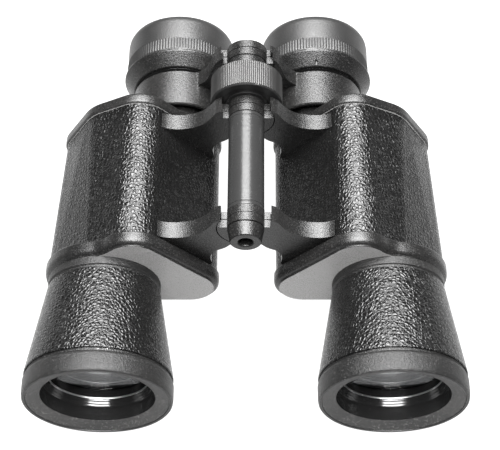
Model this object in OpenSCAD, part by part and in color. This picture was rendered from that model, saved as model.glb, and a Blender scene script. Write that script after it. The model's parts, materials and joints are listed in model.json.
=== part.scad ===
// Porro prism binoculars with a folding centre hinge, centre focusing and one adjustable eyepiece.
// X runs across the pair, -Y is the way it looks, +Z is up, and it lies on its objective rims.
// Profiles of turned pieces are points [radius, y], where y is counted from the front of the rims.
// Each half is drawn on the +X side; the left half is its mirror image.

/* [Layout] */
// Distance between the eyepiece axes
eyepiece_spacing = 66.8; // [60:0.2:82]
// Distance between the objective axes
objective_spacing = 129.4; // [106:0.2:156]
// Height of the hinge axis above the optical axes
hinge_height = 35.5; // [33:0.5:43]
// Height of the folded light path above the optical axes
fold_height = 16; // [13:0.5:20]

/* [Objectives] */
// Outer radius of the objective rims
rim_r = 33.2; // [31.5:0.5:40]
// Radius of the open bore in front of the objective lenses
hood_r = 25.2; // [20:0.2:26]
// Radius of the objective lenses
objective_r = 24.2; // [18:0.2:24.4]
// Length of an objective barrel, from rim to front plate
barrel_len = 59; // [50:1:75]
// Width of the smooth band at the rim
rim_band = 10.6; // [8:0.2:14]
// Radius of the collar where the barrel meets the front plate
collar_r = 25.6; // [23.6:0.1:30]
// Length of that collar
collar_len = 5; // [4:0.5:12]
// Thickness of the pebbled covering
cover_t = 0.8; // [0.5:0.1:1.2]

/* [Prism housings] */
// Length of the covered part of a housing
grip_len = 69.5; // [56:0.5:90]
// Thickness of the front end plate
front_plate_t = 7; // [6:0.5:9]
// Thickness of the rear end plate
rear_plate_t = 5.5; // [4:0.5:7]
// Corner radius at the top ridge
ridge_r = 15; // [13:0.5:18]
// Corner radius at the lower corners
corner_r = 14; // [13:0.5:16]
// How much wider a housing is at its front end
flare = 4.2; // [0:0.1:5]
// How far the slope of a housing bulges
bulge = 4.4; // [0.6:0.1:5]
// How far the end plates stand proud of the covering
plate_lip = 1; // [0.5:0.1:1.5]
// Thickness of the covering on the housings
grip_t = 1; // [0.6:0.1:1.4]
// Wall thickness of the housings
wall_t = 2.2; // [1.6:0.1:3]
// Rounding of the plates' edges
plate_round = 1.3; // [0.6:0.1:2]
// Length of a prism's long face
prism_len = 40; // [36:0.5:42]
// Width of a prism
prism_w = 17; // [14:0.5:18]

/* [Hinge] */
// Thickness of a pair of hinge lugs
arm_t = 8; // [6:0.5:10]
// Radius of the hinge lugs
lug_r = 12.6; // [12:0.1:14.5]
// Radius of the knuckles and the hinge tube
knuckle_r = 8.4; // [8:0.1:9.4]
// Radius of the hinge axle
axle_r = 6.5; // [6:0.1:7]
// Radius of the tripod thread in the end of the axle
socket_r = 3.175; // [2.4:0.005:4.76]

/* [Focusing] */
// Radius of the focusing wheel
wheel_r = 16.7; // [14:0.1:20]
// Width of the focusing wheel
wheel_w = 14.3; // [12:0.1:18]
// Number of ridges round the wheel
wheel_ridges = 104; // [60:2:140]
// Radius of the focusing spindle
spindle_r = 4; // [3.4:0.1:4.4]
// Radius of the neck behind the wheel
neck_r = 9.5; // [9:0.1:10.4]
// Distance from the wheel to the bridge
neck_len = 8.7; // [8:0.1:12]

/* [Eyepieces] */
// Outer radius of the sleeves on the bridge
sleeve_r = 22.3; // [19.5:0.1:25]
// Radius of the lens tubes that slide in the rear plates
tube_r = 14; // [12.6:0.1:14.6]
// Greatest radius of the tapered rings
ring_r = 27.5; // [26:0.1:31]
// Outer radius of the eyecups
cup_r = 26.4; // [24:0.1:30]
// Length of an eyecup
cup_len = 21.2; // [16:0.5:24]
// Length of the ribbed band on an eyecup
rib_band = 6.5; // [4:0.5:8]
// Number of ribs round an eyecup
cup_ribs = 112; // [60:2:140]

/* [Fits] */
// Radial clearance of a running fit
run_fit = 0.06; // [0.03:0.01:0.09]
// Clearance between pieces that pass each other
gap = 0.5; // [0.4:0.05:0.8]

/* [Hidden] */
$fn = 96;
over = 1;               // extra length of a cut, past the face that it opens
seat = 0.1;             // clearance between assembled pieces of one body
arc_steps = 12;

objective_x = objective_spacing / 2;
eyepiece_x = eyepiece_spacing / 2;
middle_x = (objective_x + eyepiece_x) / 2;

// Stations along Y
y_plate = barrel_len;
y_grip = y_plate + front_plate_t;
y_rear_plate = y_grip + grip_len;
y_rear = y_rear_plate + rear_plate_t;
y_front_arm = y_grip + 0.9;
y_rear_arm = y_rear_plate - 1.9 - arm_t;
y_wheel = y_rear_arm + arm_t + 0.4;
y_neck = y_wheel + wheel_w;
y_bridge = y_neck + neck_len;
bridge_t = 8;
y_bridge_end = y_bridge + bridge_t;
y_sleeve = y_rear + 4;
y_sleeve_end = y_bridge_end - 0.4;
y_ring = y_bridge_end + 1.5;          // the diopter ring travels 1.2 towards the bridge
ring_len = 7.2;
y_cup = y_ring + ring_len + 1;
total_len = y_cup + cup_len;
y_shelf = y_grip + grip_len / 2;

// ---- geometry helpers ----

function ccw(from, to) = (to - from + 720) % 360;
function turn(p) = atan2(p[1], p[0]);
function arc_points(c, r, from, sweep, n = arc_steps, skip = 0) =
    [for (k = [skip:n - skip]) c + r * [cos(from + sweep * k / n), sin(from + sweep * k / n)]];

// Direction of the outward normal of the straight edge that joins two corner circles [x, z, r]
function edge_normal(p, q) =
    let (d = [q[0] - p[0], q[1] - p[1]]) turn(d) - 90 + asin((p[2] - q[2]) / norm(d));

// Smooth curve through a few points, with n steps between each two
function smooth(p, n = 5) = concat(
    [for (i = [0:len(p) - 2], k = [0:n - 1])
        let (a = p[max(i - 1, 0)], b = p[i], c = p[i + 1], d = p[min(i + 2, len(p) - 1)], t = k / n)
        0.5 * (2 * b + (c - a) * t + (2 * a - 5 * b + 4 * c - d) * t * t
            + (3 * b - a - 3 * c + d) * t * t * t)],
    [p[len(p) - 1]]);

// Straight knurl or ribs: a circle outline with n ridges
function ridged(r, n, depth) =
    [for (i = [0:n - 1], k = [0:1]) let (a = 360 * (i + k / 2) / n) (r - k * depth) * [cos(a), sin(a)]];

// Rounded edges of a plate from y0 to y1: [inset of the outline, y]
function edge_steps(y0, y1, r, n = 3) = concat(
    [for (k = [0:n]) [r * (1 - sin(90 * k / n)), y0 + r * (1 - cos(90 * k / n))]],
    [for (k = [0:n]) [r * (1 - cos(90 * k / n)), y1 - r * (1 - sin(90 * k / n))]]);

module along_y(y0, y1) translate([0, y1, 0]) rotate([90, 0, 0]) linear_extrude(y1 - y0) children();
module turned(x, z, profile)
    translate([x, 0, z]) rotate([-90, 0, 0]) rotate_extrude() polygon(profile);
module rod(x, z, r, y0, y1) translate([x, y0, z]) rotate([-90, 0, 0]) cylinder(h = y1 - y0, r = r);
module placed() translate([0, -total_len / 2, rim_r]) children();
module half(side) placed() mirror([side < 0 ? 1 : 0, 0, 0]) children();

// A solid through rings of points that all have the same length, in order along Y
module loft(rings) {
    n = len(rings[0]);
    last = len(rings) - 1;
    polyhedron(
        points = [for (ring = rings, p = ring) p],
        faces = concat(
            [[for (k = [n - 1:-1:0]) k]],
            [for (j = [0:last - 1], k = [0:n - 1])
                [j * n + k, j * n + (k + 1) % n, (j + 1) * n + (k + 1) % n, (j + 1) * n + k]],
            [[for (k = [0:n - 1]) last * n + k]]),
        convexity = 4);
}

// ---- prism housings ----

ridge = [middle_x + 1.2, fold_height + 5, ridge_r];
inner = [eyepiece_x - 6.8, -3.2, corner_r];
outer = [objective_x + 9.5, -3.2, corner_r];
shell_inset = plate_lip + grip_t;
cavity_inset = shell_inset + wall_t;
light_r = 15;                           // clear radius of the opening behind an objective barrel
spigot_len = 2.4;
spigot_r = collar_r - 2.9;

function corner(c, inset, from, to) = arc_points([c[0], c[1]], c[2] - inset, from, ccw(from, to));

// A housing widens from its rear end, where k is 0, to its front end, where k is 1
function outer_at(k) = outer + [flare * k, 0, 0];
function shoulder_at(k) = ridge + 0.4 * (outer_at(k) - ridge) + [0, 0, bulge * (1 - 0.75 * k)];
function k_at(y) = max(0, min(1, (y_rear_plate - y) / grip_len));

// Section of a housing: four round corners joined by straight edges
function section(inset, k) =
    let (
        o = outer_at(k), m = shoulder_at(k),
        a = edge_normal(ridge, inner), b = edge_normal(inner, o), c = edge_normal(o, m), d = edge_normal(m, ridge))
    concat(corner(ridge, inset, d, a), corner(inner, inset, a, b), corner(o, inset, b, c), corner(m, inset, c, d));

module flared(inset, y0, y1)
    loft([for (y = concat([y0], y0 < y_grip ? [y_grip] : [], y1 > y_rear_plate ? [y_rear_plate] : [], [y1]))
        [for (p = section(inset, k_at(y))) [p[0], y, p[1]]]]);

// Centre of a hollow fillet of radius f between a straight edge, at distance d from a circle's
// centre c and with its normal at angle a, and that circle of radius r
function fillet_centre(c, r, a, d, f, side) =
    let (n = [cos(a), sin(a)], h = d + f, t = sqrt(pow(r + f, 2) - h * h))
    c + h * n + side * t * [-n[1], n[0]];

// Outline of the front plate: the same section blended into the round seat of the barrel
function front_outline(inset) =
    let (
        c = [objective_x, 0], r = collar_r + 1.5 - inset, f = 12 + inset,
        a = edge_normal(ridge, inner), b = edge_normal(inner, outer), s = edge_normal(outer, ridge),
        ridge_xz = [ridge[0], ridge[1]], inner_xz = [inner[0], inner[1]],
        d_slope = (ridge_xz - c) * [cos(s), sin(s)] + ridge[2] - inset,
        d_base = (inner_xz - c) * [cos(b), sin(b)] + inner[2] - inset,
        low = fillet_centre(c, r, b, d_base, f, -1),
        high = fillet_centre(c, r, s, d_slope, f, 1))
    concat(
        corner(inner, inset, a, b),
        arc_points(low, f, b + 180, -ccw(turn(c - low), b + 180)),
        arc_points(c, r, turn(low - c), ccw(turn(low - c), turn(high - c)), 3 * arc_steps, skip = 1),
        arc_points(high, f, turn(c - high), -ccw(s + 180, turn(c - high))),
        corner(ridge, inset, s, a));

screw_r = 1.5;
screw_head_r = 2.6;
screw_spots = [
    [ridge[0], ridge[1] + ridge_r - 6.5],
    [outer[0] + corner_r - 6.5, outer[1]],
    [objective_x - 6.7, inner[1] - corner_r + 6.5]
];
boss_len = 9.5;
boss_r = 3.4;

// ---- hinge arms ----

arm_top = [[11.3, 42.3], [14.1, 40.4], [16.5, 36.4], [19.3, 32.9], [23, 30.2], [28, 28.5], [33, 28.1], [37, 28.9],
    [39.4, 30.1]];
arm_base = [[15.8, 6.4], [16.2, 11.6], [14.2, 16.2], [9.4, 19.4], [5.4, 24.2]];
notch_x = 10.8;
lug_gap = 0.4;
lug_t = (arm_t - lug_gap) / 2;
washer_t = 0.3;

// Shapes near the hinge follow its height; those on the housing's slope follow the ridge
function with_hinge(p) = [p[0], p[1] + (hinge_height - 35.5) * max(0, min(1, (p[1] - 28) / 14))];
function on_slope(p) = [p[0] + (ridge[0] - 50.25) * max(0, min(1, (p[0] - 14) / 25)), p[1] + ridge[1] - 21];
function arm_point(p) = p[0] > 22 ? on_slope(p) : with_hinge(p);
arm_outline = concat(
    [[notch_x, hinge_height - 4], [notch_x, hinge_height + 6.4]],
    smooth([for (p = arm_top) arm_point(p)]),
    [on_slope([39.4, 18]), [inner[0] + 6, inner[1] + 2], [inner[0] - corner_r + 4, inner[1] + 3]],
    smooth(arm_base, 4));

// One lug of a pair, from y0 to y0 + thick: a disc with an open top and the knuckle that fills it
module lug(y0, thick, r, ring_r, open_x) {
    difference() {
        rod(0, hinge_height, r, y0, y0 + thick);
        translate([-r - over, y0 - over, hinge_height + 1.5])
            cube([r + over + open_x, thick + 2 * over, r]);
    }
    rod(0, hinge_height, ring_r, y0, y0 + thick);
}

// An arm of a hinge: its lug fills the front or the rear half, and the other half is cut away
// round the lug of the other arm
module hinged_arm(y0, thick, outline, r, ring_r, open_x, lug_in_front) {
    each_t = (thick - lug_gap) / 2;
    y_lug = lug_in_front ? y0 : y0 + thick - each_t;
    y_cut = lug_in_front ? y0 + each_t : y0 - over;
    difference() {
        along_y(y0, y0 + thick) polygon(outline);
        rod(0, hinge_height, r + gap, y_cut, y_cut + thick - each_t + over);
    }
    lug(y_lug, each_t, r, ring_r, open_x);
}

module housing(side) {
    outer_lugs = side > 0;
    bore_r = axle_r + (outer_lugs ? run_fit : 0);
    color("dimgray") half(side) difference() {
        union() {
            flared(shell_inset, y_grip, y_rear_plate);
            hinged_arm(y_front_arm, arm_t, arm_outline, lug_r, knuckle_r, notch_x, outer_lugs);
            hinged_arm(y_rear_arm, arm_t, arm_outline, lug_r, knuckle_r, notch_x, !outer_lugs);
        }
        difference() {
            flared(cavity_inset, y_grip - over, y_rear_plate + over);
            for (p = screw_spots) rod(p[0], p[1], boss_r, y_rear_plate - boss_len, y_rear_plate + 2 * over);
        }
        for (p = screw_spots) rod(p[0], p[1], screw_r, y_rear_plate - boss_len + 2, y_rear_plate + over);
        rod(0, hinge_height, bore_r, y_front_arm - over, y_rear_arm + arm_t + over);
    }
}

arm_edge = 0.15;        // the covering is cut this far clear of the arms
module grip_cover(side) color("black") half(side) difference() {
    flared(plate_lip, y_grip + arm_edge, y_rear_plate - arm_edge);
    flared(shell_inset - 1.5 * seat, y_grip - over, y_rear_plate + over);
    for (y0 = [y_front_arm, y_rear_arm])
        along_y(y0 - arm_edge, y0 + arm_t + arm_edge)
            polygon([
                [inner[0] - corner_r - over, arm_base[0][1] - arm_edge], arm_base[0] - [arm_edge, arm_edge],
                [inner[0] - corner_r + 4 - arm_edge, inner[1] + 3 - arm_edge], [inner[0] + 6, inner[1] + 2 - arm_edge],
                on_slope([39.4 + arm_edge, 18]), on_slope([39.4 + arm_edge, 34]),
                [inner[0] - corner_r - over, hinge_height + 6.4]]);
}

lip_len = 1.6;          // a lip behind the front plate centres it in the housing
lip_t = 1.2;
face_edge = 2.4;        // inset of the flat front face
// Edge of the front plate as [inset, depth]: a thin raised rim round the face, a step, a round shoulder
front_edge = [[face_edge, 0], [face_edge - 0.35, 0.3], [face_edge - 0.4, 0.9], [face_edge - 0.9, 1], [0.75, 1.45],
    [0.3, 2.1], [0.05, 3], [0, 3.8]];
module front_plate(side) color("dimgray") half(side) difference() {
    union() {
        loft([for (e = concat(front_edge, [[0, front_plate_t - 0.6], [0.2, front_plate_t - 0.15],
            [0.5, front_plate_t]])) [for (p = front_outline(e[0])) [p[0], y_plate + e[1], p[1]]]]);
        difference() {
            flared(cavity_inset + seat, y_grip - 1, y_grip + lip_len);
            flared(cavity_inset + seat + lip_t, y_grip - 2, y_grip + lip_len + over);
        }
    }
    rod(objective_x, 0, spigot_r + seat, y_plate - over, y_plate + spigot_len + seat);
    rod(objective_x, 0, light_r, y_plate, y_grip + lip_len + over);
}

guide_r = tube_r + run_fit;
guide_wall = 1.9;
guide_len = 12;
module rear_plate(side) color("dimgray") half(side) difference() {
    union() {
        loft([for (e = edge_steps(y_rear_plate, y_rear, plate_round))
            [for (p = section(e[0], 0)) [p[0], e[1], p[1]]]]);
        rod(eyepiece_x, 0, guide_r + guide_wall, y_rear_plate + 1, y_rear + guide_len);
    }
    rod(eyepiece_x, 0, guide_r, y_rear_plate - over, y_rear + guide_len + over);
    for (p = screw_spots) {
        rod(p[0], p[1], screw_r + seat, y_rear_plate - over, y_rear + over);
        rod(p[0], p[1], screw_head_r + seat, y_rear - 1.8, y_rear + over);
    }
}

module rear_screws(side) color("silver") half(side)
    for (p = screw_spots) difference() {
        turned(p[0], p[1], [[0, y_rear_plate - boss_len + 3], [screw_r, y_rear_plate - boss_len + 3],
            [screw_r, y_rear - 1.8], [screw_head_r, y_rear - 1.8], [screw_head_r, y_rear - 0.5],
            [screw_head_r - 0.5, y_rear - 0.1], [0, y_rear - 0.1]]);
        translate([p[0] - screw_head_r - over, y_rear - 0.8, p[1] - 0.35])
            cube([2 * (screw_head_r + over), 2, 0.7]);
    }

lug_bar = 2;
module strap_lug(side) {
    w = 15;
    h = 6.5;
    top = outer[1] - corner_r;
    color("gray") half(side) difference() {
        union() {
            translate([outer[0] - 4 - w / 2, y_rear - 4.5, top - h + lug_bar]) cube([w, 3, h - lug_bar]);
            rod(outer[0] - 4 - w / 2 + lug_bar, top - h + lug_bar, lug_bar, y_rear - 4.5, y_rear - 1.5);
            rod(outer[0] - 4 + w / 2 - lug_bar, top - h + lug_bar, lug_bar, y_rear - 4.5, y_rear - 1.5);
            translate([outer[0] - 4 - w / 2 + lug_bar, y_rear - 4.5, top - h]) cube([w - 2 * lug_bar, 3, lug_bar]);
        }
        translate([outer[0] - 4 - w / 2 + lug_bar, y_rear - 6, top - h + lug_bar - 0.4])
            cube([w - 2 * lug_bar, 6, 3.6]);
    }
}

// ---- objectives ----

cone_front_r = rim_r - 1;               // metal cone under the covering, at the rim band
cone_back_r = collar_r - 0.65;
y_cone_end = barrel_len - collar_len;
cell_r = objective_r + 1.6;
y_cell_step = 14;
y_cell_end = 25.2;
lens_y = 14;                            // front of the objective lens, on its axis

function on_cone(y, inset) =
    cone_front_r + (cone_back_r - cone_front_r) * (y - rim_band) / (y_cone_end - rim_band) - inset;

module objective_barrel(side) color("dimgray") half(side) turned(objective_x, 0, [
    [rim_r - 1.6, 0], [rim_r - 0.7, 0], [rim_r - 0.25, 0.6], [rim_r, 2.2], [rim_r, rim_band - 2.8],
    [rim_r - 0.45, rim_band - 1.5], [rim_r - 1.25, rim_band - 0.75], [rim_r - 1, rim_band - 0.35],
    [rim_r - 1.2, rim_band], [cone_front_r, rim_band + seat],
    [cone_back_r, y_cone_end], [collar_r - 0.9, y_cone_end + seat], [collar_r - 0.7, y_cone_end + 0.5],
    [collar_r - 0.7, y_cone_end + 1.1], [collar_r - 0.1, y_cone_end + 1.5], [collar_r, y_cone_end + 1.8], [collar_r, y_plate],
    [spigot_r, y_plate], [spigot_r, y_plate + spigot_len], [spigot_r - 2, y_plate + spigot_len],
    [spigot_r - 2, y_plate - 4], [on_cone(y_cone_end, 2), y_cone_end],
    [on_cone(y_cell_end, 2.3), y_cell_end], [cell_r + seat, y_cell_end], [cell_r + seat, y_cell_step],
    [on_cone(y_cell_step, 2.4), y_cell_step], [on_cone(y_cell_step, 2.4), 3.2], [rim_r - 1.8, 3.2],
    [rim_r - 1.8, 0.3]]);

module barrel_cover(side) color("black") half(side) turned(objective_x, 0, [
    [cone_front_r + seat, rim_band + 2 * seat], [cone_front_r + cover_t - 0.3, rim_band + 2 * seat],
    [cone_front_r + cover_t, rim_band + 0.6], [cone_back_r + cover_t, y_cone_end - 0.5],
    [cone_back_r + cover_t - 0.3, y_cone_end - seat], [cone_back_r + seat, y_cone_end - seat]]);

module objective_cell(side) color("darkslategray") half(side) turned(objective_x, 0, [
    [rim_r - 1.9, 0.45], [rim_r - 1.9, 3.1], [on_cone(y_cell_step, 2.5), 3.1],
    [on_cone(y_cell_step, 2.5), y_cell_step - seat], [cell_r, y_cell_step - seat],
    [cell_r, y_cell_end + 1.5], [objective_r - 1, y_cell_end + 4.6], [objective_r - 3, y_cell_end + 4.6],
    [objective_r - 1.3, y_cell_end + 0.4],
    [objective_r + seat, y_cell_end + 0.4], [objective_r + seat, 8.4], [hood_r, 7.8], [hood_r, 2.6]]);

front_curve = 95;
cement_curve = 80;
crown_t = 8;
flint_t = 3.6;

function sag(curve, r) = curve - sqrt(curve * curve - r * r);

// One face of a lens from its axis outwards; its rim lies at a larger y if bend is 1, a smaller y if -1
function lens_face(y, r, curve, bend) =
    [for (k = [0:arc_steps]) let (at = r * k / arc_steps) [at, y + bend * sag(curve, at)]];
function reversed(p) = [for (k = [len(p) - 1:-1:0]) p[k]];
module biconvex(x, r, y, t, front, rear)
    turned(x, 0, concat(lens_face(y, r, front, 1), reversed(lens_face(y + t, r, rear, -1))));

y_ring_end = lens_y + sag(front_curve, objective_r - 2) - 0.25;
module retaining_ring(side) color("black") half(side) turned(objective_x, 0, [
    [objective_r - 0.2, 8.5], [objective_r, 8.7], [objective_r, y_ring_end], [objective_r - 1.7, y_ring_end],
    [objective_r - 2, y_ring_end - 0.3], [objective_r - 2, 12.6], [objective_r - 1.6, 12]]);

module objective_crown(side) color("lightsteelblue", 0.5) half(side)
    biconvex(objective_x, objective_r, lens_y, crown_t, front_curve, cement_curve);

module objective_flint(side) color("lightblue", 0.5) half(side) turned(objective_x, 0, concat(
    lens_face(lens_y + crown_t + 0.05, objective_r, cement_curve, -1),
    [[objective_r, lens_y + crown_t + flint_t], [0, lens_y + crown_t + flint_t]]));

// ---- prisms ----

shelf_t = 3;
shelf_hole_r = prism_w / 2 - 0.5;
clip_w = 5;

// Stands a shape drawn in XY across the housing, between the light's two crossing points p and q
module across(p, q, y, flip)
    translate([(p[0] + q[0]) / 2, y, (p[1] + q[1]) / 2]) rotate([0, -turn(q - p), 0])
        mirror([0, flip ? 1 : 0, 0]) children();

module at_rear_prism() across([objective_x, 0], [middle_x, fold_height], y_shelf + shelf_t / 2 + seat, false)
    children();
module at_front_prism() across([middle_x, fold_height], [eyepiece_x, 0], y_shelf - shelf_t / 2 - seat, true)
    children();

module prism_block() linear_extrude(prism_w, center = true)
    polygon([[-prism_len / 2, 0], [prism_len / 2, 0], [0.8, prism_len / 2 - 0.8], [-0.8, prism_len / 2 - 0.8]]);
module clip_strip() {
    inside = prism_len / 2 + 0.3;
    outside = inside + 0.7;
    linear_extrude(clip_w, center = true)
        polygon([[-outside, 0], [0, outside], [outside, 0], [inside, 0], [0, inside], [-inside, 0]]);
}

module rear_prism(side) color("lightcyan", 0.6) half(side) at_rear_prism() prism_block();
module front_prism(side) color("lightcyan", 0.6) half(side) at_front_prism() prism_block();
module prism_clips(side) color("goldenrod") half(side) {
    at_rear_prism() clip_strip();
    at_front_prism() clip_strip();
}
module prism_shelf(side) color("gray") half(side) difference() {
    flared(cavity_inset + gap + seat, y_shelf - shelf_t / 2, y_shelf + shelf_t / 2);
    for (p = [[objective_x, 0], [middle_x, fold_height], [eyepiece_x, 0]])
        rod(p[0], p[1], shelf_hole_r, y_shelf - shelf_t, y_shelf + shelf_t);
}

// ---- hinge ----

y_tube = y_front_arm + arm_t;
axle_end = y_wheel + 3.8;
stub_r = 5;
stub_len = 9;
boss_len_front = 6.6;
bore_depth = 34;                        // hollow rear end of the axle, round the spindle
module hinge_axle() color("dimgray") placed() difference() {
    rod(0, hinge_height, axle_r, y_front_arm - 0.3, axle_end);
    rod(0, hinge_height, stub_r, y_front_arm - over, y_front_arm - 0.3 + stub_len);
    rod(0, hinge_height, spindle_r + 0.4, axle_end - bore_depth, axle_end + over);
}

module hinge_tube() color("black") placed() turned(0, hinge_height, [
    [axle_r, y_tube], [knuckle_r - 0.5, y_tube], [knuckle_r - 0.1, y_tube + 0.4],
    [knuckle_r - 0.1, y_tube + 1.8], [knuckle_r - 0.5, y_tube + 2.1], [knuckle_r - 0.2, y_tube + 2.4],
    [knuckle_r - 0.2, y_rear_arm - 2.4], [knuckle_r - 0.5, y_rear_arm - 2.1],
    [knuckle_r - 0.1, y_rear_arm - 1.8], [knuckle_r - 0.1, y_rear_arm - 0.4],
    [knuckle_r - 0.5, y_rear_arm], [axle_r, y_rear_arm]]);

module washer(y) turned(0, hinge_height,
    [[axle_r, y], [knuckle_r - 0.3, y], [knuckle_r - 0.3, y + washer_t], [axle_r, y + washer_t]]);
module hinge_washers() color("goldenrod") placed() {
    washer(y_front_arm + lug_t + lug_gap - washer_t);
    washer(y_rear_arm + lug_t);
}

socket_len = 9;
module tripod_boss() {
    y0 = y_front_arm - 0.3 - boss_len_front;
    color("dimgray") placed() turned(0, hinge_height, [
        [socket_r, y0 + 0.6], [socket_r + 0.6, y0], [knuckle_r - 1.8, y0], [knuckle_r - 1.4, y0 + 0.4],
        [knuckle_r - 0.2, y_front_arm - 0.3], [stub_r, y_front_arm - 0.3],
        [stub_r, y_front_arm - 0.3 + stub_len], [0, y_front_arm - 0.3 + stub_len],
        [0, y0 + 0.6 + socket_len], [socket_r, y0 + 0.6 + socket_len]]);
}

// ---- focusing ----

recess_r = neck_r + gap;
web_t = 4;
wheel_chamfer = 0.8;
module focus_wheel() color("gray") placed() difference() {
    union() {
        turned(0, hinge_height, [[0, y_wheel], [wheel_r - 1.3, y_wheel], [wheel_r - 0.4, y_wheel + wheel_chamfer],
            [wheel_r - 0.4, y_neck - wheel_chamfer], [wheel_r - 1.3, y_neck], [0, y_neck]]);
        translate([0, 0, hinge_height])
            along_y(y_wheel + wheel_chamfer, y_neck - wheel_chamfer) polygon(ridged(wheel_r, wheel_ridges, 0.5));
    }
    rod(0, hinge_height, axle_r + run_fit, y_wheel - over, y_wheel + web_t + over);
    rod(0, hinge_height, recess_r, y_wheel + web_t, y_neck + over);
    turned(0, hinge_height, [[knuckle_r + 1.2, y_wheel - over], [knuckle_r + 4.2, y_wheel - over],
        [knuckle_r + 4.2, y_wheel + 0.7], [knuckle_r + 1.2, y_wheel + 0.7]]);
}

module focus_nut() color("goldenrod") placed() turned(0, hinge_height, [
    [spindle_r + run_fit, y_wheel + web_t], [neck_r - 1.1, y_wheel + web_t],
    [neck_r - 1.1, y_wheel + web_t + 5.6], [neck_r - 1.5, y_wheel + web_t + 6],
    [spindle_r + run_fit, y_wheel + web_t + 6]]);

spindle_reach = 26;
module focus_spindle() color("silver") placed() turned(0, hinge_height, [
    [0, axle_end - spindle_reach], [spindle_r - 0.5, axle_end - spindle_reach],
    [spindle_r, axle_end - spindle_reach + 0.5], [spindle_r, y_bridge_end - 3], [0, y_bridge_end - 3]]);

pivot_r = 6;
neck_reach = 5.1;                       // length of the neck inside the wheel
neck_wall = 0.6;
module bridge_neck() color("dimgray") placed() turned(0, hinge_height, [
    [spindle_r, y_bridge - 4], [neck_r - neck_wall, y_bridge - 4], [neck_r - neck_wall, y_neck - neck_reach],
    [neck_r, y_neck - neck_reach], [neck_r, y_bridge - 0.8], [neck_r - 0.3, y_bridge - 0.5],
    [neck_r - 0.3, y_bridge], [pivot_r, y_bridge], [pivot_r, y_bridge_end + 0.2], [spindle_r, y_bridge_end + 0.2]]);

module bridge_cap() {
    y0 = y_bridge_end + 0.3;
    color("dimgray") placed() turned(0, hinge_height, [
        [0, y0 - 3], [spindle_r - seat, y0 - 3], [spindle_r - seat, y0], [neck_r - 1.7, y0], [neck_r - 1.3, y0 + 0.4],
        [neck_r - 1.5, y0 + 1], [neck_r - 2.6, y0 + 1.5], [neck_r - 4.4, y0 + 1.8], [0, y0 + 2]]);
}

// ---- eyepieces ----

bridge_lug_r = lug_r - 0.2;
bridge_top = [[11.8, 40.2], [14.6, 37.4], [16.4, 32.5], [18, 27.4], [20.2, 23.2], [23.6, 20.1]];
bridge_base = [[13, 7], [12, 13.5], [9.2, 19.8], [5.2, 24.2]];
function bridge_point(p) =
    let (down = max(0, min(1, (hinge_height + 4.7 - p[1]) / 20)))
    [p[0] + down * (eyepiece_x - 33.4), p[1] + (1 - down) * (hinge_height - 35.5)];
bridge_outline = concat(
    [[notch_x + 0.2, hinge_height - 4], [notch_x + 0.2, hinge_height + 4.9]],
    smooth([for (p = bridge_top) bridge_point(p)]),
    [[eyepiece_x, sleeve_r - 4], [eyepiece_x - sleeve_r + 2, 2]],
    smooth([for (p = bridge_base) bridge_point(p)], 4));

sleeve_wall = 1.8;
y_web = y_bridge + 3;
module bridge_arm(side) {
    fixed = side < 0;
    color("dimgray") half(side) difference() {
        union() {
            turned(eyepiece_x, 0, [[0, y_sleeve], [sleeve_r - 0.5, y_sleeve], [sleeve_r, y_sleeve + 0.5],
                [sleeve_r, y_sleeve_end - 0.7], [sleeve_r - 0.7, y_sleeve_end], [0, y_sleeve_end]]);
            hinged_arm(y_bridge, bridge_t, bridge_outline, bridge_lug_r, neck_r, notch_x + 0.2, fixed);
        }
        rod(eyepiece_x, 0, sleeve_r - sleeve_wall, y_sleeve - over, y_web);
        rod(eyepiece_x, 0, tube_r, y_web - over, y_bridge_end + over);
        rod(0, hinge_height, pivot_r + (fixed ? 0 : run_fit), y_bridge - over, y_bridge_end + over);
    }
}

tube_wall = 1.4;
y_tube_front = y_rear - 1.7;
module eyepiece_tube(side) color("black") half(side) turned(eyepiece_x, 0, [
    [tube_r - tube_wall, y_tube_front], [tube_r - 0.3, y_tube_front], [tube_r, y_tube_front + 0.3],
    [tube_r, y_sleeve_end], [tube_r - tube_wall, y_sleeve_end]]);

field_lens_r = tube_r - tube_wall - seat;
module field_lens(side) color("lightsteelblue", 0.5) half(side)
    biconvex(eyepiece_x, field_lens_r, y_sleeve + 2, 6.5, 40, 40);

ocular_r = cup_r - 5.5;
ocular_in = tube_r - tube_wall - run_fit;
eye_lens_r = 11.4;
y_cup_floor = y_cup + cup_len - 10.2;
module ocular(side) color("black") half(side) turned(eyepiece_x, 0, [
    [ocular_in - 1.2, y_sleeve_end - 10], [ocular_in, y_sleeve_end - 10], [ocular_in, y_ring],
    [ocular_r, y_ring], [ocular_r, y_cup_floor - 0.2], [eye_lens_r + 0.6, y_cup_floor - 0.2],
    [eye_lens_r, y_cup_floor - 0.7], [eye_lens_r, y_cup_floor - 6], [eye_lens_r - 1, y_cup_floor - 6],
    [eye_lens_r - 1, y_ring + 1], [ocular_in - 1.2, y_ring - 1]]);
module eye_lens(side) color("lightsteelblue", 0.5) half(side)
    biconvex(eyepiece_x, eye_lens_r - 0.05, y_cup_floor - 5.6, 4.4, 36, 36);

module tapered_ring(side) half(side) turned(eyepiece_x, 0, [
    [ocular_r + run_fit, y_ring], [ring_r - 5.2, y_ring], [ring_r - 4.7, y_ring + 0.4],
    [ring_r - 0.2, y_ring + ring_len - 1.3], [ring_r, y_ring + ring_len - 0.9],
    [ring_r, y_ring + ring_len - 0.4], [ring_r - 0.4, y_ring + ring_len],
    [ocular_r + run_fit, y_ring + ring_len]]);
module eyepiece_ring(side) color("dimgray") tapered_ring(side);
module diopter_ring(side) color("dimgray") difference() {
    tapered_ring(side);
    half(side) rod(eyepiece_x, ring_r - 3.6, 0.7, y_ring - over, y_ring + 3);
}

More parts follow.
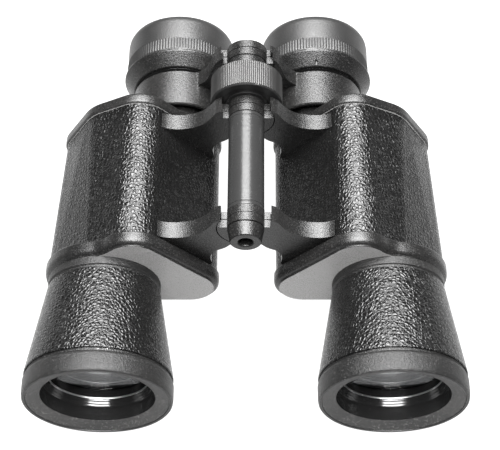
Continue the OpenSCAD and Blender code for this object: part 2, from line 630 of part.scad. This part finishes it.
y_end = y_cup + cup_len;
module eyecup(side) color("dimgray") half(side) difference() {
    union() {
        turned(eyepiece_x, 0, [[0, y_cup], [cup_r - 0.6, y_cup], [cup_r - 0.3, y_cup + 0.4],
            [cup_r - 0.3, y_cup + rib_band], [cup_r, y_cup + rib_band + 0.3], [cup_r, y_end - 4.2],
            [cup_r - 0.3, y_end - 2.2], [cup_r - 1, y_end - 0.8], [cup_r - 1.9, y_end - 0.15],
            [cup_r - 2.5, y_end], [0, y_end]]);
        translate([eyepiece_x, 0, 0])
            along_y(y_cup + 0.5, y_cup + rib_band) polygon(ridged(cup_r + 0.15, cup_ribs, 0.55));
    }
    rod(eyepiece_x, 0, ocular_r + run_fit, y_cup - over, y_cup_floor);
    turned(eyepiece_x, 0, [[0, y_cup_floor - over], [eye_lens_r + 1.2, y_cup_floor - over],
        [eye_lens_r + 1.2, y_cup_floor + 0.8], [cup_r - 5, y_cup_floor + 2.2], [cup_r - 3.4, y_cup_floor + 4],
        [cup_r - 3, y_end - 0.8], [cup_r - 2.6, y_end + over], [0, y_end + over]]);
}

housing(-1);  // housing_left
housing(1);  // housing_right
grip_cover(-1);  // grip_cover_left
grip_cover(1);  // grip_cover_right
front_plate(-1);  // front_plate_left
front_plate(1);  // front_plate_right
rear_plate(-1);  // rear_plate_left
rear_plate(1);  // rear_plate_right
rear_screws(-1);  // rear_screws_left
rear_screws(1);  // rear_screws_right
strap_lug(-1);  // strap_lug_left
strap_lug(1);  // strap_lug_right
objective_barrel(-1);  // objective_barrel_left
objective_barrel(1);  // objective_barrel_right
barrel_cover(-1);  // barrel_cover_left
barrel_cover(1);  // barrel_cover_right
objective_cell(-1);  // objective_cell_left
objective_cell(1);  // objective_cell_right
retaining_ring(-1);  // retaining_ring_left
retaining_ring(1);  // retaining_ring_right
objective_crown(-1);  // objective_crown_left
objective_crown(1);  // objective_crown_right
objective_flint(-1);  // objective_flint_left
objective_flint(1);  // objective_flint_right
prism_shelf(-1);  // prism_shelf_left
prism_shelf(1);  // prism_shelf_right
front_prism(-1);  // front_prism_left
front_prism(1);  // front_prism_right
rear_prism(-1);  // rear_prism_left
rear_prism(1);  // rear_prism_right
prism_clips(-1);  // prism_clips_left
prism_clips(1);  // prism_clips_right
hinge_axle();
hinge_tube();
hinge_washers();
tripod_boss();
focus_wheel();
focus_nut();
focus_spindle();
bridge_neck();
bridge_cap();
bridge_arm(-1);  // bridge_arm_left
bridge_arm(1);  // bridge_arm_right
eyepiece_tube(-1);  // eyepiece_tube_left
eyepiece_tube(1);  // eyepiece_tube_right
field_lens(-1);  // field_lens_left
field_lens(1);  // field_lens_right
ocular(-1);  // ocular_left
ocular(1);  // ocular_right
eye_lens(-1);  // eye_lens_left
eye_lens(1);  // eye_lens_right
eyepiece_ring(-1);  // eyepiece_ring_left
diopter_ring(1);  // diopter_ring_right
eyecup(-1);  // eyecup_left
eyecup(1);  // eyecup_right
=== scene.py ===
import json
import math
import bpy
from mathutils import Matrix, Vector

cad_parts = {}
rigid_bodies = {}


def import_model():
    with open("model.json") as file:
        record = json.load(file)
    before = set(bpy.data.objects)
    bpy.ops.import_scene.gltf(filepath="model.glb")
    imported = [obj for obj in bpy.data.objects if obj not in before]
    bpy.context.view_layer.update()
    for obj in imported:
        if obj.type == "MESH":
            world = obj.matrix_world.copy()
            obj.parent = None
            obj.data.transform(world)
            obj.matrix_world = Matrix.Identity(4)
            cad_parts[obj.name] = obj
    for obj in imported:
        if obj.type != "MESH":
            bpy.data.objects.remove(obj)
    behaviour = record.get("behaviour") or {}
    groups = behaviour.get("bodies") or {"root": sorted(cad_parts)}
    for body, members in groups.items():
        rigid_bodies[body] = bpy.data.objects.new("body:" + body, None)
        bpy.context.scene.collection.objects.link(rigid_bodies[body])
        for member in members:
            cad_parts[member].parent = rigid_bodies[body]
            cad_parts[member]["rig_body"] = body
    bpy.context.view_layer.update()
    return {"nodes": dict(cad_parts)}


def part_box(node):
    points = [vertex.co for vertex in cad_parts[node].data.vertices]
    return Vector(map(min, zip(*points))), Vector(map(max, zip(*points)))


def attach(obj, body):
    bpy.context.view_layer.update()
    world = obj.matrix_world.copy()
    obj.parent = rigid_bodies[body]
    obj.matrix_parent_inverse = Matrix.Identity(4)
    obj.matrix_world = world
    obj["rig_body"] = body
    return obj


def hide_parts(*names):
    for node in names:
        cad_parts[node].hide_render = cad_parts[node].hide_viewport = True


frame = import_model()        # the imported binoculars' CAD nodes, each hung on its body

nodes = frame["nodes"]
scene = bpy.context.scene
scene.view_settings.view_transform = "Standard"
print("binoculars loaded:", len(nodes), "CAD nodes")

# the camera looks down over the objectives, with a long lens
camera = {
    "place": (0.0075, -0.36085, 0.6130), "tilt": 31.34, "lens": 104.4, "shiftX": -0.0256, "shiftY": 0.0018,
}
bpy.ops.object.camera_add(location=camera["place"], rotation=(math.radians(camera["tilt"]), 0, 0))
scene.camera = bpy.context.object
scene.camera.data.lens = camera["lens"]
scene.camera.data.shift_x = camera["shiftX"]
scene.camera.data.shift_y = camera["shiftY"]
scene.camera.data.clip_start = 0.01

# a softbox overhead, a weak fill from the front and a floor that glows white under the binoculars
studio = {
    "floorSize": 6.0, "floorDrop": 0.0002, "floorShade": 0.06, "floorRough": 0.9,
    "floorGlow": 1.02, "floorFade": (0.26, 0.62), "floorFar": 0.10,
    "skyShade": (0.97, 0.98, 1.0), "skyStrength": 0.07,
    "softboxSize": (0.66, 1.10), "softboxPlace": (0, 0.14, 0.85), "softboxPower": 96,
    "fillSize": (0.9, 0.5), "fillPlace": (0, -1.1, 0.55), "fillAim": (0, 0, 0.03), "fillPower": 6,
}


def areaLight(name, place, aim, size, power):
    bpy.ops.object.light_add(type="AREA", location=place)
    lamp = bpy.context.object
    lamp.name = name
    lamp.rotation_euler = (Vector(aim) - Vector(place)).to_track_quat("-Z", "Y").to_euler()
    lamp.data.shape = "RECTANGLE"
    lamp.data.size, lamp.data.size_y = size
    lamp.data.energy = power


# straight down; the small step along Y fixes which way the softbox's long side runs
softboxAim = (0, studio["softboxPlace"][1] + 1e-4, 0)
areaLight("overheadSoftbox", studio["softboxPlace"], softboxAim, studio["softboxSize"], studio["softboxPower"])
areaLight("frontFill", studio["fillPlace"], studio["fillAim"], studio["fillSize"], studio["fillPower"])

world = bpy.data.worlds.new("studioSky")
scene.world = world
world.use_nodes = True
sky = world.node_tree.nodes["Background"]
sky.inputs["Color"].default_value = (*studio["skyShade"], 1)
sky.inputs["Strength"].default_value = studio["skyStrength"]


class Wire:
    # one output of a material's tree; + - * ** with numbers and other wires add Math nodes
    def __init__(self, tree, socket=None):
        self.tree, self.socket = tree, socket

    def make(self, kind, settings=None, inputs=None, output=0):
        node = self.tree.nodes.new(kind)
        for key, value in (settings or {}).items():
            setattr(node, key, value)
        for key, value in (inputs or {}).items():
            if isinstance(value, Wire):
                self.tree.links.new(value.socket, node.inputs[key])
            else:
                node.inputs[key].default_value = value
        return Wire(self.tree, node.outputs[output])

    def sum(self, operation, *others):
        return self.make("ShaderNodeMath", {"operation": operation}, dict(enumerate((self, *others))))

    def __add__(self, other): return self.sum("ADD", other)
    def __radd__(self, other): return self.sum("ADD", other)
    def __sub__(self, other): return self.sum("SUBTRACT", other)
    def __mul__(self, other): return self.sum("MULTIPLY", other)
    def __rmul__(self, other): return self.sum("MULTIPLY", other)
    def __pow__(self, other): return self.sum("POWER", other)

    def __rsub__(self, other):
        return self.make("ShaderNodeMath", {"operation": "SUBTRACT"}, {0: other, 1: self})

    def between(self, low, high):      # 0 at low, 1 at high, smooth between
        return self.make("ShaderNodeMapRange", {"interpolation_type": "SMOOTHSTEP"},
                         {"Value": self, "From Min": low, "From Max": high})


def mixColour(mask, low, high):
    return mask.make("ShaderNodeMix", {"data_type": "RGBA"},
                     {0: mask, 6: low if isinstance(low, Wire) else (*low, 1),
                      7: high if isinstance(high, Wire) else (*high, 1)}, output=2)


def grey(shade, warmth=0.0):
    return (shade * (1 + warmth), shade, shade * (1 - warmth))


def startMaterial(name):
    material = bpy.data.materials.new(name)
    material.use_nodes = True
    tree = material.node_tree
    shader = tree.nodes["Principled BSDF"]
    place = Wire(tree).make("ShaderNodeTexCoord", output=3)
    return material, shader, place


def noise(place, scale, detail=3, roughness=0.5):
    return place.make("ShaderNodeTexNoise", {}, {"Vector": place, "Scale": scale, "Detail": detail,
                                                 "Roughness": roughness})


def feed(shader, **values):
    names = {"colour": "Base Color", "rough": "Roughness", "metal": "Metallic", "coat": "Coat Weight",
             "normal": "Normal", "ior": "IOR", "clear": "Transmission Weight", "specular": "Specular IOR Level"}
    tree = shader.id_data
    for key, value in values.items():
        socket = shader.inputs[names[key]]
        if isinstance(value, Wire):
            tree.links.new(value.socket, socket)
        elif key == "colour":
            socket.default_value = (*value, 1)
        else:
            socket.default_value = value


def bump(height, depth):
    return height.make("ShaderNodeBump", {}, {"Height": height, "Distance": depth, "Strength": 1.0})


def coordinates(place):
    x = place.make("ShaderNodeSeparateXYZ", {}, {"Vector": place})
    return (x, *(Wire(x.tree, x.socket.node.outputs[i]) for i in (1, 2)))


def span(a, b):
    return (a * a + b * b) ** 0.5


print("materials")
# shade is the paint's own grey, face the painted light on the front plates' flat faces, grain the sand's scale
enamelLook = {
    "shade": 0.0040, "shine": 0.26, "rough": 0.28, "grain": 1700, "grainDepth": 0.00014,
    "speckle": (0.54, 0.72), "speckleGain": 5, "chipShade": 0.16,
}
plateLook = enamelLook | {"face": 0.17, "faceTurn": (0.90, 0.99)}
rimLook = enamelLook | {"shine": 0.20, "rough": 0.42, "grain": 1300, "grainDepth": 0.00030}
# painted light: the cells' forward-facing hood face is a paler copy of the rim's enamel, standing in for light
# from the front
hoodPaintedLightLook = rimLook | {"shade": 0.024}


def sandEnamel(name, look, wear=0.0):
    material, shader, place = startMaterial(name)
    grain = noise(place, look["grain"], 4, 0.65)
    coarse = noise(place, look["grain"] / 6, 3)
    cloud = noise(place, 45, 4)
    shade = mixColour(cloud.between(0.35, 0.7), grey(look["shade"] * 0.85), grey(look["shade"] * 1.25, 0.02))
    rough = look["rough"] + (cloud - 0.5) * 0.10 + (grain - 0.5) * 0.25
    sand = noise(place, look["grain"] * 0.8, 2, 0.8)
    shade = mixColour(sand.between(*look["speckle"]), shade, grey(look["shade"] * look["speckleGain"], 0.02))
    normal = bump(grain + coarse * 0.5, look["grainDepth"])
    if "face" in look:                 # painted light: the flat face that looks forward is painted paler than its edge, standing in for light from the floor and the front
        facing = coordinates(place.make("ShaderNodeTexCoord", output=1))[1] * -1
        flat = facing.between(*look["faceTurn"]) * (0.7 + grain * 0.6)
        shade = mixColour(flat, shade, grey(look["face"], 0.01))
    if wear:
        chips = (noise(place, 320, 6, 0.7) + noise(place, 38, 2) * 0.6).between(0.98 - wear, 1.06 - wear)
        shade = mixColour(chips, shade, grey(look["chipShade"], 0.01))
        rough = rough - chips * 0.08
        feed(shader, metal=chips)
    feed(shader, colour=shade, rough=rough, normal=normal, specular=look["shine"])
    return material


# drift is how far the pebbles' pattern wanders, dome how wide a pebble's rounded edge is
leatherLook = {
    "shade": 0.0018, "shine": 0.28, "rough": 0.15, "pebble": 600, "depth": 0.00017, "drift": 0.0011, "dome": 0.32,
}


def pebbledLeather(name, look):
    material, shader, place = startMaterial(name)
    drift = place.make("ShaderNodeTexNoise", {}, {"Vector": place, "Scale": 260, "Detail": 2}, output=1)
    drifted = place.make("ShaderNodeVectorMath", {"operation": "MULTIPLY_ADD"},
                         {0: drift, 1: (look["drift"],) * 3, 2: place})
    edge = drifted.make("ShaderNodeTexVoronoi", {"feature": "DISTANCE_TO_EDGE"},
                        {"Vector": drifted, "Scale": look["pebble"], "Randomness": 0.95})
    dome = edge.between(0.0, look["dome"])
    fine = noise(place, look["pebble"] * 4.5, 3, 0.6)
    height = dome + fine * 0.16 + noise(place, look["pebble"] * 0.35, 2) * 0.35
    cloud = noise(place, 60, 4)
    # painted shade: the grooves between pebbles are painted darker than the pebbles' tops
    shade = mixColour(dome, grey(look["shade"] * 0.45), grey(look["shade"] * 1.2, 0.02))
    rough = look["rough"] + (1 - dome) * 0.25 + (cloud - 0.5) * 0.12 + (fine - 0.5) * 0.12
    feed(shader, colour=shade, rough=rough, normal=bump(height, look["depth"]), specular=look["shine"])
    return material


rubberLook = {"shade": 0.0060, "shine": 0.4, "rough": 0.44, "grain": 1500, "depth": 0.00010}


def hardRubber(name, look):
    material, shader, place = startMaterial(name)
    grain = noise(place, look["grain"], 4, 0.6)
    cloud = noise(place, 70, 4)
    shade = mixColour(cloud.between(0.3, 0.75), grey(look["shade"] * 0.85), grey(look["shade"] * 1.15, 0.02))
    rough = look["rough"] + (cloud - 0.5) * 0.14 + (grain - 0.5) * 0.10
    feed(shader, colour=shade, rough=rough, normal=bump(grain, look["depth"]), specular=look["shine"])
    return material


ringsPerMetre = 1500
ringDepth = 0.00001


def turnedPaint(name, shade, rough, axis, shine=0.5):
    # smooth paint over lathe work, with faint rings round the axis x, z and a little dust
    material, shader, place = startMaterial(name)
    x, y, z = coordinates(place)
    rings = ((span(x - axis[0], z - axis[1]) + y) * (ringsPerMetre * math.tau)).sum("SINE")
    cloud = noise(place, 110, 4)
    dust = noise(place, 1400, 2).between(0.68, 0.80)
    colour = mixColour(dust * 0.5, grey(shade), grey(shade * 4 + 0.02, 0.02))
    feed(shader, colour=colour, rough=rough + (cloud - 0.5) * 0.12 + dust * 0.2,
         normal=bump(rings + cloud * 2, ringDepth), specular=shine)
    return material


scratchDepth = 0.00001


def metal(name, shade, rough, tint=(0.0, 0.0, 0.0)):
    material, shader, place = startMaterial(name)
    cloud = noise(place, 130, 5)
    grain = noise(place, 2400, 3)
    tone = tuple(shade + t for t in tint)
    colour = mixColour(cloud.between(0.35, 0.75), tuple(0.8 * t for t in tone), tone)
    feed(shader, colour=colour, metal=1.0, rough=rough + (cloud - 0.5) * 0.2 + (grain - 0.5) * 0.08,
         normal=bump(grain, scratchDepth))
    return material


def coatedGlass(name, tint):
    material, shader, place = startMaterial(name)
    feed(shader, colour=tint, rough=0.0, clear=1.0, ior=1.52, coat=0.0)
    return material


def axisOf(node):                      # where a turned node's axis, along Y, lies in x and z
    low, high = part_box(node)
    return (low.x + high.x) / 2, (low.z + high.z) / 2


axisHinge = (0.0, axisOf("hinge_tube")[1])
axisObjective = axisOf("objective_cell_right")

enamel = sandEnamel("satinEnamel", enamelLook)
plateEnamel = sandEnamel("plateEnamel", plateLook)
rimEnamel = sandEnamel("rimEnamel", rimLook)
hoodEnamel = sandEnamel("hoodEnamel", hoodPaintedLightLook)
enamelWorn = sandEnamel("wornEnamelEdge", enamelLook, wear=0.05)
leather = pebbledLeather("pebbledLeatherette", leatherLook)
rubber = hardRubber("mattedRubber", rubberLook)
glossTube = turnedPaint("glossTubeEnamel", 0.010, 0.27, axisHinge, shine=0.22)
cellBlack = {s: turnedPaint("cellBlack" + s.title(), 0.008, 0.16, (x, axisObjective[1]))
             for s, x in (("left", -axisObjective[0]), ("right", axisObjective[0]))}
plainBlack = turnedPaint("innerBlack", 0.010, 0.35, (0, 0))
steel = metal("brightSteel", 0.55, 0.28)
brass = metal("springBrass", 0.55, 0.30, tint=(0.12, -0.05, -0.30))
bareMetal = metal("bareAluminium", 0.62, 0.34)
glass = coatedGlass("coatedGlass", (0.97, 0.98, 0.99))
# painted shade: the flint lens is opaque glossy black paint, standing in for the dark inside seen through the
# objective
darkGlass = turnedPaint("darkGlass", 0.004, 0.06, (0, 0), shine=0.4)


# how far below the knurl's crests the wear ends and where it is full, and how much its edge wanders
knurlLook = {"valley": 0.006, "crest": 0.032, "wearEnd": 0.0009, "wearFull": 0.0001, "wander": 0.0006}


def knurledMetal(name, look, axis, crest):
    material, shader, place = startMaterial(name)
    x, y, z = coordinates(place)
    away = span(x - axis[0], z - axis[1]) + (noise(place, 260, 3) - 0.5) * look["wander"]
    worn = away.between(crest - look["wearEnd"], crest - look["wearFull"])
    grain = noise(place, 2400, 3)
    colour = mixColour(worn, grey(look["valley"]), grey(look["crest"], 0.01))
    feed(shader, colour=colour, metal=0.3 + worn * 0.5, rough=0.42 - worn * 0.04 + (grain - 0.5) * 0.12,
         normal=bump(grain, 0.00002))
    return material


wheelMetal = knurledMetal("knurledWheel", knurlLook, axisHinge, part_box("focus_wheel")[1].z - axisHinge[1])

weldDistance = 2e-6


def finishedCopy(node, look, materials):
    # a copy of a CAD node with its triangles joined, its edges softened and its shading smooth
    source = nodes[node]
    words = node.split("_")
    piece = bpy.data.objects.new(words[0] + "".join(w.title() for w in words[1:]), source.data.copy())
    scene.collection.objects.link(piece)
    bpy.ops.object.select_all(action="DESELECT")
    piece.select_set(True)
    bpy.context.view_layer.objects.active = piece
    piece.data.materials.clear()
    for material in materials:
        piece.data.materials.append(material)
    bpy.ops.object.mode_set(mode="EDIT")
    bpy.ops.mesh.select_all(action="SELECT")
    bpy.ops.mesh.remove_doubles(threshold=weldDistance)
    bpy.ops.mesh.dissolve_limited(angle_limit=math.radians(look.get("flat", 0.4)))
    bpy.ops.object.mode_set(mode="OBJECT")
    for face in piece.data.polygons:
        face.material_index = 0
    if look.get("edge"):               # the bevel shows the second material, where there is one
        bpy.ops.object.modifier_add(type="BEVEL")
        bevel = piece.modifiers[-1]
        bevel.width, bevel.segments = look["edge"], look.get("steps", 2)
        bevel.limit_method, bevel.angle_limit = "ANGLE", math.radians(look.get("sharp", 42))
        bevel.use_clamp_overlap = True
        bevel.miter_outer = "MITER_ARC"
        if len(materials) > 1:
            bevel.material = 1
        bpy.ops.object.modifier_apply(modifier=bevel.name)
    bpy.ops.object.shade_smooth_by_angle(angle=math.radians(look.get("smooth", 40)))
    bpy.ops.object.modifier_add(type="WEIGHTED_NORMAL")
    piece.modifiers[-1].keep_sharp = True
    bpy.ops.object.modifier_apply(modifier=piece.modifiers[-1].name)
    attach(piece, source["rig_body"])
    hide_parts(node)
    return piece


castings = {"edge": 0.00035, "steps": 2}
for name in ("housing_left", "housing_right", "bridge_arm_left", "bridge_arm_right", "strap_lug_left",
             "strap_lug_right", "tripod_boss", "bridge_neck", "bridge_cap"):
    finishedCopy(name, castings, [enamel, enamelWorn])
plates = {"edge": 0.0, "smooth": 40}
for name in ("front_plate_left", "front_plate_right", "rear_plate_left", "rear_plate_right"):
    finishedCopy(name, plates, [plateEnamel])
turnings = {"edge": 0.0002, "steps": 2, "sharp": 50, "inward": -0.002}
for name in ("objective_barrel_left", "objective_barrel_right", "eyepiece_ring_left", "diopter_ring_right"):
    coat = rimEnamel if "barrel" in name else enamel
    ring = finishedCopy(name, turnings, [coat, enamelWorn, plainBlack])
    axisX, axisZ = axisOf(name)
    for face in ring.data.polygons:    # faces that look at the axis are matt black
        outward = (face.center.x - axisX) * face.normal.x + (face.center.z - axisZ) * face.normal.z
        if outward < turnings["inward"]:
            face.material_index = 2
print("castings, plates and turned rings")

covers = {"edge": 0.00025, "steps": 2}
for name in ("grip_cover_left", "grip_cover_right", "barrel_cover_left", "barrel_cover_right"):
    finishedCopy(name, covers, [leather])
cups = {"edge": 0.0, "smooth": 35}
for name in ("eyecup_left", "eyecup_right"):
    finishedCopy(name, cups, [rubber])
finishedCopy("hinge_tube", {"edge": 0.0002}, [glossTube])
finishedCopy("focus_wheel", {"edge": 0.0, "smooth": 30}, [wheelMetal])
hoodDepth = 0.0023                     # how deep the sanded face of a cell reaches; this face is painted paler, as painted light
bareBand = (0.0034, 0.0042)            # where a retaining ring is bare, behind its front end
lensShape = {"flat": 0.01, "smooth": 30}
for side in ("left", "right"):
    black = cellBlack[side]
    name = "objective_cell_" + side
    cell = finishedCopy(name, {"edge": 0.0001, "sharp": 60}, [black, hoodEnamel])
    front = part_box(name)[0].y
    for face in cell.data.polygons:
        if face.center.y < front + hoodDepth:
            face.material_index = 1
    name = "retaining_ring_" + side
    ring = finishedCopy(name, {"edge": 0.00012}, [black, black, bareMetal])
    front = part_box(name)[0].y
    for face in ring.data.polygons:
        if front + bareBand[0] < face.center.y < front + bareBand[1]:
            face.material_index = 2
    for name in ("objective_crown_", "eye_lens_", "field_lens_"):
        finishedCopy(name + side, lensShape, [glass])
    # painted shade: the flint lens takes the opaque black in place of glass
    finishedCopy("objective_flint_" + side, lensShape, [darkGlass])
    finishedCopy("ocular_" + side, {"edge": 0.0001}, [black])
    finishedCopy("rear_screws_" + side, {"edge": 0.00015}, [steel])
print("coverings, cups, tube, wheel and optics")

# pieces inside keep the CAD's own shape and only take a material
inside = {
    "prism_shelf": plainBlack, "front_prism": glass, "rear_prism": glass, "prism_clips": brass,
    "hinge_axle": steel, "hinge_washers": plainBlack, "focus_nut": brass, "focus_spindle": steel,
    "eyepiece_tube": plainBlack,
}
for name, node in nodes.items():
    key = name.removesuffix("_left").removesuffix("_right")
    if key in inside:
        node.data.materials.clear()
        node.data.materials.append(inside[key])

bpy.ops.object.select_all(action="DESELECT")
bpy.ops.mesh.primitive_plane_add(size=studio["floorSize"], location=(0, 0, -studio["floorDrop"]))
floor = bpy.context.object
floor.name = "floor"
floorPaper, shader, place = startMaterial("whitePaper")
feed(shader, colour=grey(studio["floorShade"]), rough=studio["floorRough"])
x, y, z = coordinates(place)
glow = mixColour(span(x, y).between(*studio["floorFade"]), grey(1.0), grey(studio["floorFar"]))
place.tree.links.new(glow.socket, shader.inputs["Emission Color"])
shader.inputs["Emission Strength"].default_value = studio["floorGlow"]
floor.data.materials.append(floorPaper)
